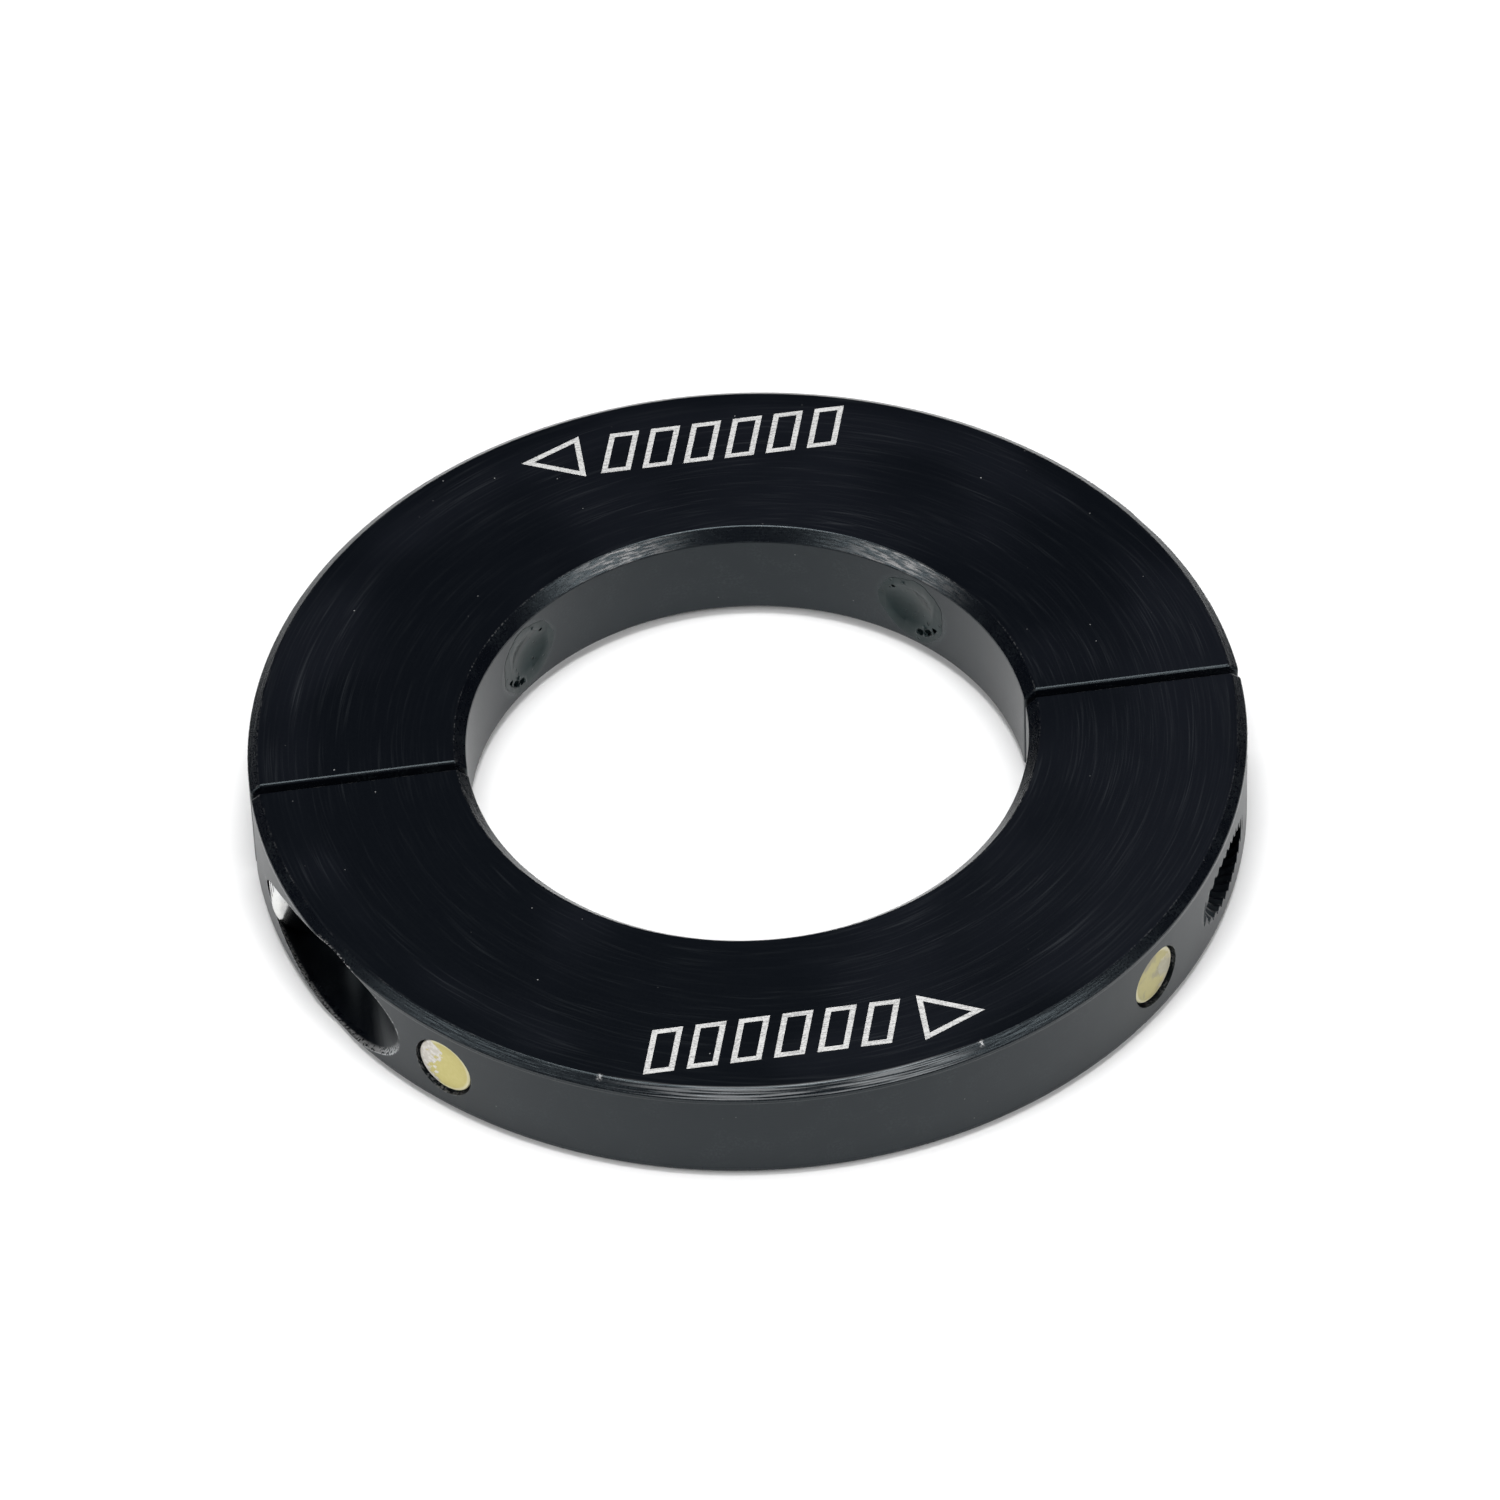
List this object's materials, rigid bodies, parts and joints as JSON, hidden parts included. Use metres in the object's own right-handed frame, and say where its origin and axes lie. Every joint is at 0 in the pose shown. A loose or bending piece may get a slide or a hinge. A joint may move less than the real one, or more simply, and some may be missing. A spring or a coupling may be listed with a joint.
{
  "type": "shaft collar",
  "caption": "Two-piece clamping shaft collar with cap screws, carrying round sensor magnets in its outer wall so that a pick-up can read the shaft's speed.",
  "frame": {"origin": "on the bore axis, at the collar's bottom face", "axes": "+Z along the bore axis, X along the split between the halves, the front half at -Y and the back half at +Y"},
  "size_m": [0.0762, 0.0762, 0.0087],
  "materials": {
    "black_anodised": "turned and black anodised, satin",
    "bright_zinc": "bright zinc plated steel",
    "yellow_magnet": "worn yellow paint over bright metal",
    "black_potting": "cast epoxy with a few voids"
  },
  "bodies": {
    "front_half": {"collar_half_front": "black_anodised", "sensor_magnet_front_left": "yellow_magnet", "sensor_magnet_front_right": "yellow_magnet", "potting_plug_front_left": "black_potting", "potting_plug_front_right": "black_potting"},
    "back_half": {"collar_half_back": "black_anodised", "sensor_magnet_back_left": "yellow_magnet", "sensor_magnet_back_right": "yellow_magnet", "potting_plug_back_left": "black_potting", "potting_plug_back_right": "black_potting"},
    "left_screw": {"clamp_screw_left": "bright_zinc"},
    "right_screw": {"clamp_screw_right": "bright_zinc"}
  },
  "joints": [
    {"name": "left_screw_turn", "type": "hinge", "parent": "front_half", "child": "left_screw", "pos_m": [-0.03375, -0.00335, 0.00436], "axis": [0, -1, 0], "range_deg": [0, 3601]},
    {"name": "clamp_open", "type": "slide", "parent": "front_half", "child": "back_half", "axis": [0, 1, 0], "range_m": [0, 0.00794]},
    {"name": "right_screw_turn", "type": "hinge", "parent": "back_half", "child": "right_screw", "pos_m": [0.03375, 0.00335, 0.00436], "axis": [0, 1, 0], "range_deg": [0, 3601]}
  ],
  "couplings": [
    {"joint": "left_screw_turn", "follows": "clamp_open", "rad_per_m": 7913.3},
    {"joint": "right_screw_turn", "follows": "clamp_open", "rad_per_m": 7913.3}
  ]
}
